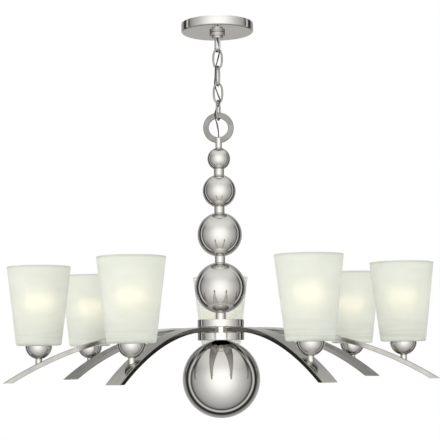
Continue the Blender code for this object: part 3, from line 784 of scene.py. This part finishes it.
def build_cord():
    """Twisted twin cord, in lengths cut between the chain's hinges that meet end to end. Only the
    last rides on a body, the fixture.
    """
    sides = 20
    outline = []
    for k in range(sides):
        angle = 2 * math.pi * k / sides
        radius = CORD_R * (0.88 + 0.12 * math.cos(2 * angle))
        outline.append((radius * math.cos(angle), radius * math.sin(angle)))
    route = smooth_route(CORD_ROUTE, CORD_STEP)
    hinges = [joint["pos_m"][2] for joint in frame["joints"] if "swing" in joint["name"]]
    half_span = 0.012
    parts = [("ceiling_mount", "loop", -0.010, -0.030, LOOP_BODY_BOTTOM)]
    bodies = ["loop", "link_1", "link_2", "link_3", "link_4", "fixture"]
    for i, z in enumerate(hinges):
        middle = (z + hinges[i + 1]) / 2 if i + 1 < len(hinges) else z - half_span
        parts.append((bodies[i], bodies[i + 1], z + half_span, z - half_span, middle))
    start = 0
    for i, (above, below, blend_top, blend_bottom, bottom) in enumerate(parts):
        end = next(k for k, point in enumerate(route) if k > start and point.z <= bottom)
        length = cord_length(f"cord_part_{i + 1}", route[start:end + 1], outline, start)
        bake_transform(length)
        if i == 0:
            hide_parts("supply_cord")
        start = end
    length = cord_length(f"cord_part_{len(parts) + 1}", route[start:], outline, start)
    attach(length, "fixture")


def cord_length(name, path, outline, first):
    """One length of the cord, whose twist carries on from the length before it."""
    turned_outline = []
    angle = CORD_TWIST * first
    for a, b in outline:
        turned_outline.append((a * math.cos(angle) - b * math.sin(angle),
                               a * math.sin(angle) + b * math.cos(angle)))
    mesh = swept(name, path, turned_outline, twist=CORD_TWIST)
    made = bpy.data.objects.new(name, mesh)
    bpy.context.scene.collection.objects.link(made)
    mesh.materials.append(JACKET)
    return made


def build_ring():
    """Flat suspension ring with eased edges, and the slotted coupling that it stands in."""
    low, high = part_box("suspension_ring")
    radius = high.x
    half = high.y
    corners = ((RING_INNER_R, -half, EDGE), (RING_INNER_R, half, EDGE), (radius, half, EDGE),
               (radius, -half, EDGE))
    centre = Matrix.Translation((0.0, 0.0, (low.z + high.z) / 2))
    ring = piece("ring_body", turned("ring_body", corners, 128), SATIN, "fixture",
                 ("suspension_ring",),
                 centre @ Matrix.Rotation(math.pi / 2, 4, "X"))
    hole = bmesh.new()
    bmesh.ops.create_cone(hole, cap_ends=True, segments=32, radius1=CORD_HOLE_R,
                          radius2=CORD_HOLE_R, depth=radius - RING_INNER_R + 0.01)
    bmesh.ops.rotate(hole, cent=(0, 0, 0), matrix=Matrix.Rotation(math.pi / 2, 3, "X"),
                     verts=hole.verts)
    bmesh.ops.translate(hole, vec=(0.0, -(radius + RING_INNER_R) / 2, 0.0), verts=hole.verts)
    cut_away(ring, hole)
    soften(ring, 0.0003)
    slot_z = low.z - GAP
    web = slot_z - COUPLING_WEB
    low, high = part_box("ring_coupling")
    corners = ((CORD_HOLE_R, high.z, 0.0003), (high.x, high.z, 0.0008), (high.x, low.z, 0.0006),
               (COUPLING_BORE_R, low.z, 0.0003), (COUPLING_BORE_R, web, 0), (CORD_HOLE_R, web, 0))
    coupling = piece("coupling_body", turned("coupling_body", corners), NICKEL, "fixture",
                     ("ring_coupling",))
    slot = bmesh.new()
    bmesh.ops.create_cube(slot, size=1.0)
    bmesh.ops.scale(slot, vec=(4 * high.x, 2 * (half + GAP), 2 * (high.z - slot_z)),
                    verts=slot.verts)
    bmesh.ops.translate(slot, vec=(0.0, 0.0, high.z), verts=slot.verts)
    cut_away(coupling, slot)
    soften(coupling, 0.0003)


# Stem, hub and lower ball -------------------------------------------------------------------

def seat_arc(centre_z, radius, top_z, bottom_z, steps, outward=True):
    """Arc of a ball from one height to another."""
    top = math.degrees(math.asin(min(1.0, (top_z - centre_z) / radius)))
    bottom = math.degrees(math.asin(max(-1.0, (bottom_z - centre_z) / radius)))
    ends = (top, bottom) if outward else (bottom, top)
    return arc((0.0, centre_z), radius, *ends, steps)


def build_balls():
    """Hollow spun balls that grow towards the hub, and the plain tube under each."""
    for i in range(4):
        low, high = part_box(f"ball_{i + 1}")
        seat_r = FIRST_SEAT_R if i == 0 else BALL_SEAT_R
        radius = ball_radius(high.z - low.z, seat_r, BALL_SEAT_R)
        centre = low.z + math.sqrt(radius ** 2 - BALL_SEAT_R ** 2)
        inner = radius - BALL_WALL
        top = high.z - BALL_WALL
        bottom = low.z + BALL_WALL
        corners = [(PIPE_CLEAR_R, high.z, 0.0002), (seat_r - 0.0003, high.z, 0.0002),
                   *seat_arc(centre, radius, high.z, low.z, 56)[1:-1],
                   (BALL_SEAT_R - 0.0003, low.z, 0.0002), (PIPE_CLEAR_R, low.z, 0.0002),
                   (PIPE_CLEAR_R, bottom, 0), *seat_arc(centre, inner, top, bottom, 24, False),
                   (PIPE_CLEAR_R, top, 0)]
        piece(f"ball_shell_{i + 1}", turned(f"ball_shell_{i + 1}", corners, 112), NICKEL,
              "fixture", (f"ball_{i + 1}",))
        low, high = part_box(f"ball_spacer_{i + 1}")
        corners = ((PIPE_CLEAR_R, high.z, 0.0002), (high.x, high.z, 0.0004),
                   (high.x, low.z, 0.0004), (PIPE_CLEAR_R, low.z, 0.0002))
        piece(f"spacer_tube_{i + 1}", turned(f"spacer_tube_{i + 1}", corners), NICKEL,
              "fixture", (f"ball_spacer_{i + 1}",))


def ball_radius(height, top_seat, bottom_seat):
    """Radius of a ball cut flat at both poles, from its height and the two flats' radii."""
    difference = bottom_seat ** 2 - top_seat ** 2
    upper = (height ** 2 + difference) / (2 * height)
    return math.hypot(upper, top_seat)


def build_hub():
    """Upper disc, and the base disc with its seven posts between the arms."""
    low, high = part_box("hub_cap")
    radius = high.x
    edge = 0.0012
    corners = ((PIPE_CLEAR_R, high.z, EDGE), (radius, high.z, edge), (radius, low.z, edge),
               (PIPE_CLEAR_R, low.z, EDGE))
    piece("hub_disc", turned("hub_disc", corners, 144), NICKEL, "fixture",
          ("hub_cap",))
    low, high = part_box("hub_base")
    corners = ((PIPE_CLEAR_R, HUB_POCKET_BOTTOM, 0), (HUB_POCKET_R, HUB_POCKET_BOTTOM, 0.0005),
               (HUB_POCKET_R, HUB_FLOOR_TOP, EDGE), (radius, HUB_FLOOR_TOP, edge),
               (radius, low.z, edge), (PIPE_CLEAR_R, low.z, EDGE))
    piece("hub_drum", turned("hub_drum", corners, 144), NICKEL, "fixture",
          ("hub_base",))
    half = SLOT_WIDTH / 2
    apex_r = half / math.sin(math.pi / ARM_COUNT) + 0.0012
    spread_deg = 180 / ARM_COUNT - math.degrees(math.asin(half / radius))
    face = arc((0.0, 0.0), radius - EDGE, -spread_deg, spread_deg, 8)
    outline = rounded([(apex_r, 0.0, 0.0008), (*face[0][:2], EDGE), *face[1:-1],
                       (*face[-1][:2], EDGE)])
    heights = (HUB_FLOOR_TOP - EDGE, high.z)
    mesh = loft("hub_post", [[Vector((x, y, z)) for x, y in outline] for z in heights], capped=True)
    for i in range(ARM_COUNT):
        angle = -math.pi / 2 + 2 * math.pi * i / ARM_COUNT
        post = piece(f"hub_post_{i + 1}", mesh, NICKEL, "fixture",
                     matrix=Matrix.Rotation(angle, 4, "Z"))
        soften(post, 0.0003)


def build_lower_ball():
    """Large closed ball under the hub. The pipe and nut inside it keep their frame shapes."""
    low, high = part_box("lower_ball")
    height = high.z - low.z
    radius = (height ** 2 + BALL_SEAT_R ** 2) / (2 * height)
    centre = low.z + radius
    inner = radius - BALL_WALL
    ceiling = high.z - BALL_WALL
    outer_arc = seat_arc(centre, radius, high.z, low.z, 72, False)
    inner_arc = seat_arc(centre, inner, ceiling, centre - inner, 30)
    corners = [(0, low.z, 0), *outer_arc[1:-1], (BALL_SEAT_R - 0.0003, high.z, 0.0002),
               (PIPE_CLEAR_R, high.z, 0.0002), (PIPE_CLEAR_R, ceiling, 0), *inner_arc[:-1],
               (0, centre - inner, 0)]
    piece("lower_ball_shell", turned("lower_ball_shell", corners, 144), NICKEL, "fixture",
          ("lower_ball",))
    dress("center_rod", PIPE)
    dress("rod_nut", STEEL)


# Arms and lamps -----------------------------------------------------------------------------

class Bend:
    """Line of an arm, level at the hub and then curving down, worked out from the arm along +Y."""

    def __init__(self):
        low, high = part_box("arm_4")
        half = ARM_THICK / 2
        drop = high.z - low.z
        self.half_width = high.x
        self.start = low.y
        self.middle_z = high.z - half
        self.tip_z = low.z
        reach = high.y - ARM_BEND_START
        self.radius = (reach ** 2 + drop ** 2) / (2 * drop) - half

    def point(self, angle, offset):
        """Point (r, z) at an angle round the bend, offset up from the middle surface."""
        radius = self.radius + offset
        return (ARM_BEND_START + radius * math.sin(angle),
                self.middle_z - self.radius + radius * math.cos(angle))

    def end_angle(self, offset):
        """Angle round the bend where a surface at that offset comes down to the tip's height."""
        return math.acos((self.tip_z - self.middle_z + self.radius) / (self.radius + offset))

    def top_z(self, r):
        """Height of the upper face at plan radius r."""
        half = ARM_THICK / 2
        return self.point(math.asin((r - ARM_BEND_START) / (self.radius + half)), half)[1]


def bar_rings(bend, half_width, half_thick, corner, stations, first_r, last_share=1.0):
    """Rounded rectangles along an arm, from plan radius first_r to a share of its bend."""
    section = rounded([(-half_width, -half_thick, corner), (-half_width, half_thick, corner),
                       (half_width, half_thick, corner), (half_width, -half_thick, corner)], 4)
    rings = []
    for r in (first_r, (first_r + ARM_BEND_START) / 2):
        rings.append([Vector((r, across, bend.middle_z + offset)) for across, offset in section])
    for i in range(stations + 1):
        ring = []
        for across, offset in section:
            angle = bend.end_angle(offset) * last_share * i / stations
            r, z = bend.point(angle, offset)
            ring.append(Vector((r, across, z)))
        rings.append(ring)
    return rings


def arm_mesh(bend):
    """Flat tube: the outer skin, then the bore back to its open end at the hub."""
    half = ARM_THICK / 2
    outer = bar_rings(bend, bend.half_width, half, ARM_CORNER, ARM_STATIONS, bend.start)
    inner = bar_rings(bend, bend.half_width - ARM_WALL, half - ARM_WALL, 0.0003, 12,
                      bend.start, 0.9)
    bm = bmesh.new()
    outer_rows = [[bm.verts.new(point) for point in ring] for ring in outer]
    inner_rows = [[bm.verts.new(point) for point in ring] for ring in inner]
    for rows in (outer_rows, inner_rows, [outer_rows[0], inner_rows[0]]):
        for row, follower in zip(rows, rows[1:]):
            for k, vertex in enumerate(row):
                m = (k + 1) % len(row)
                bm.faces.new((vertex, row[m], follower[m], follower[k]))
    bm.faces.new(outer_rows[-1])
    bm.faces.new(inner_rows[-1])
    return smooth_mesh("arm_tube", bm)


def cup_mesh(bend, lamp_radius, cup_r, cup_top):
    """Half-round cup on a short post, whose foot follows the slope of the arm's upper face."""
    low_deg = math.degrees(math.acos((POST_R + 0.0006) / cup_r))
    outer = arc((0.0, cup_top), cup_r, -2, -low_deg, 30)
    neck = outer[-1][1]
    foot = neck - 0.004
    corners = [(POST_BORE_R, cup_top, 0), (cup_r - 0.0004, cup_top, 0.0004), *outer,
               (POST_R, neck - 0.0008, 0.0006), (POST_R, foot, 0.0003), (POST_BORE_R, foot, 0)]
    mesh = turned("cup_shell", corners, 72)
    for vertex in mesh.vertices:
        if vertex.co.z < foot + 0.0005:
            sloped = bend.top_z(lamp_radius + vertex.co.x) + GAP
            vertex.co.z = sloped + vertex.co.z - foot
    return mesh


def shade_mesh(low, high):
    """Flared glass, thick at its rounded foot and drawn to a soft, fire-polished rim."""
    top_r = (high.x - low.x) / 2
    inner_r = SHADE_BOTTOM_R - SHADE_WALL
    corners = ((SHADE_HOLE_R, low.z, 0.0006), (SHADE_BOTTOM_R, low.z, SHADE_CORNER),
               (top_r, high.z, 0.0013), (top_r - SHADE_WALL, high.z, 0.0013),
               (inner_r, low.z + SHADE_WALL, 0.004), (SHADE_HOLE_R, low.z + SHADE_WALL, 0.0006))
    return turned("glass_shade", corners, 120)


def socket_mesh(low, high):
    """Turned socket with a ribbed waist and an open, threaded-shell mouth."""
    radius = (high.x - low.x) / 2
    corners = [(POST_BORE_R, low.z, 0), (radius, low.z, 0.0008)]
    ribs = 4
    pitch = 0.0024
    start = low.z + 0.012
    for k in range(ribs):
        z = start + k * pitch
        corners += [(radius, z, 0.0003), (radius - 0.0006, z + pitch / 2, 0.0004)]
    corners += [(radius, start + ribs * pitch, 0.0003), (radius, high.z, 0.001),
                (SOCKET_BORE_R, high.z, 0.0006), (SOCKET_BORE_R, SOCKET_FLOOR, 0.0004),
                (POST_BORE_R, SOCKET_FLOOR, 0)]
    return turned("socket_shell", corners, 72)


def bulb_meshes(low, high):
    """Pear-shaped bulb glass, and the screw base that it is cemented into."""
    belly = high.z - BULB_R
    crown = arc((0.0, belly), BULB_R, 90, -22, 30)
    neck_r = BULB_BASE_R - 0.0006
    glass = [*crown, (0.0170, belly - 0.037, 0.012), (neck_r, BULB_BASE_TOP + 0.004, 0.003),
             (neck_r, BULB_BASE_TOP, 0), (0, BULB_BASE_TOP, 0)]
    glass[0] = (0, high.z, 0)
    base = [(0, BULB_BASE_TOP - 0.0002, 0), (BULB_BASE_R, BULB_BASE_TOP - 0.0002, 0.0004)]
    turns = 4
    steps = 8
    for k in range(turns * steps + 1):
        depth = THREAD_DEPTH * (1 - math.cos(2 * math.pi * k / steps))
        base.append((BULB_BASE_R - depth, BULB_BASE_TOP - 0.003 - k * THREAD_PITCH / steps, 0))
    base += [(0.0095, low.z + 0.0035, 0.001), (0.005, low.z, 0.001), (0, low.z, 0)]
    return turned("bulb_glass", glass, 72), turned("bulb_base", base, 72)


def build_arms_and_lamps():
    """Seven arms, each with its cup, shade, socket and bulb. One mesh of each serves all seven."""
    bend = Bend()
    low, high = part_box("cup_4")
    lamp_radius = (low.y + high.y) / 2
    cup = cup_mesh(bend, lamp_radius, high.x, high.z)
    shade = shade_mesh(*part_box("shade_4"))
    low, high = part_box("shade_4")
    floor = low.z + SHADE_WALL
    socket_low, socket_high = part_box("socket_4")
    bore = (socket_high.x - socket_low.x) / 2 + GAP
    foot, top = floor + GAP, floor + SHADE_RING_H
    ring = turned("shade_ring", ((bore, foot, 0.0003), (SHADE_RING_R, foot, 0.0006),
                                 (SHADE_RING_R, top, 0.0008), (bore, top, 0.0004)))
    socket = socket_mesh(socket_low, socket_high)
    glass, base = bulb_meshes(*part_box("bulb_4"))
    arm = arm_mesh(bend)
    for number in range(1, ARM_COUNT + 1):
        low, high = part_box(f"cup_{number}")
        angle = math.atan2((low.y + high.y) / 2, (low.x + high.x) / 2)
        turn = Matrix.Rotation(angle, 4, "Z")
        at_lamp = turn @ Matrix.Translation((lamp_radius, 0.0, 0.0))
        tube = piece(f"arm_tube_{number}", arm, ARM_NICKEL, "fixture",
                     (f"arm_{number}",), turn)
        soften(tube, 0.0005)
        piece(f"cup_shell_{number}", cup, NICKEL, "fixture",
              (f"cup_{number}",), at_lamp)
        glass_shade = piece(f"glass_shade_{number}", shade, ETCHED, "fixture",
                            (f"shade_{number}",), at_lamp)
        piece(f"shade_ring_{number}", ring, NICKEL, "fixture",
              matrix=at_lamp)
        piece(f"socket_shell_{number}", socket, PORCELAIN, "fixture",
              (f"socket_{number}",), at_lamp)
        bulb = piece(f"bulb_glass_{number}", glass, LAMP_GLASS, f"bulb_{number}",
                     (f"bulb_{number}",), at_lamp)
        glass_shade.visible_glossy = False
        bulb.visible_glossy = False
        piece(f"bulb_base_{number}", base, BASE_METAL, f"bulb_{number}",
              matrix=at_lamp)


# Stage --------------------------------------------------------------------------------------

def build_floor():
    """Plain pale floor well below the chandelier, slightly uneven in tone."""
    rings = [[Vector((0.0, 0.0, FLOOR_Z))]]
    sides = 96
    angles = [2 * math.pi * k / sides for k in range(sides)]
    for share in (0.25, 0.5, 0.75, 1.0):
        reach = FLOOR_R * share
        rings.append([Vector((reach * math.cos(a), reach * math.sin(a), FLOOR_Z)) for a in angles])
    mesh = loft("floor", rings)
    if mesh.polygons[0].normal.z < 0:
        mesh.flip_normals()
    material, tree, shader, coordinates = principled("pale_floor", (0.93, 0.93, 0.925), 0.7)
    tint = ramp(tree, noise(tree, coordinates, 1.3, 4.0),
                ((0.3, (0.91, 0.91, 0.905)), (0.7, (0.95, 0.95, 0.945))))
    tree.links.new(tint, shader.inputs["Base Color"])
    mesh.materials.append(material)
    floor = bpy.data.objects.new("floor", mesh)
    bpy.context.scene.collection.objects.link(floor)
    floor.visible_glossy = False


def build_world():
    """Soft studio, fixed in the room: front softbox, dark flags with a white strip between them,
    pale back and soft ceiling. Behind the object it is plain white, and its light is even."""
    world = bpy.data.worlds.new("studio")
    bpy.context.scene.world = world
    world.use_nodes = True
    tree = world.node_tree
    tree.nodes.clear()
    direction = tree.nodes.new("ShaderNodeTexCoord").outputs["Generated"]
    front = math_node(tree, "MULTIPLY", axis(tree, direction, "Y"), -1.0)
    from_front = math_node(tree, "ARCCOSINE", front)
    turn = math_node(tree, "DIVIDE", from_front, math.pi)
    room = ramp(tree, turn, [(place, grey(brightness)) for place, brightness in STUDIO])
    ceiling = ramp(tree, turn, ((0.0, grey(1.3)), (1.0, grey(0.45))))
    overhead = spread(tree, axis(tree, direction, "Z"), 0.0, 1.0, (0.45, 0.80))
    sides = mix(tree, overhead, room, ceiling)
    even = tree.nodes.new("ShaderNodeRGB").outputs["Color"]
    even.default_value = (0.93, 0.93, 0.92, 1.0)
    white = tree.nodes.new("ShaderNodeRGB").outputs["Color"]
    white.default_value = (1.0, 1.0, 1.0, 1.0)
    rays = tree.nodes.new("ShaderNodeLightPath").outputs
    seen = mix(tree, rays["Is Glossy Ray"], even, sides)
    seen = mix(tree, rays["Is Camera Ray"], seen, white)
    background = tree.nodes.new("ShaderNodeBackground")
    tree.links.new(seen, background.inputs["Color"])
    output = tree.nodes.new("ShaderNodeOutputWorld")
    tree.links.new(background.outputs["Background"], output.inputs["Surface"])


def build_lights():
    """Two large soft lamps, one at the front on the left and a weaker one at the back."""
    for name, place, size, power in (("key", (-2.2, -3.0, 1.2), 2.4, 26.0),
                                     ("back_fill", (2.4, 2.6, 0.8), 2.0, 10.0)):
        data = bpy.data.lights.new(name, "AREA")
        data.size = size
        data.energy = power
        light = bpy.data.objects.new(name, data)
        bpy.context.scene.collection.objects.link(light)
        light.location = place
        aim = Vector((0.0, 0.0, -0.6)) - light.location
        light.rotation_euler = aim.to_track_quat("-Z", "Y").to_euler()
        light.visible_camera = False
        light.visible_glossy = False


def build_camera():
    """Long lens a little below the canopy, looking slightly up."""
    data = bpy.data.cameras.new("camera")
    data.lens = CAMERA_LENS
    data.clip_start = 0.1
    camera = bpy.data.objects.new("camera", data)
    bpy.context.scene.collection.objects.link(camera)
    camera.matrix_world = (Matrix.Translation(CAMERA_PLACE) @ Matrix.Rotation(CAMERA_TILT, 4, "X")
                           @ Matrix.Rotation(CAMERA_ROLL, 4, "Z"))
    bpy.context.scene.camera = camera
    bpy.context.scene.view_settings.view_transform = "Standard"


build_camera()
build_cord()
build_ceiling_mount()
build_canopy()
build_loop()
build_chain()
build_ring()
build_balls()
build_hub()
build_lower_ball()
build_arms_and_lamps()
build_floor()
build_world()
build_lights()
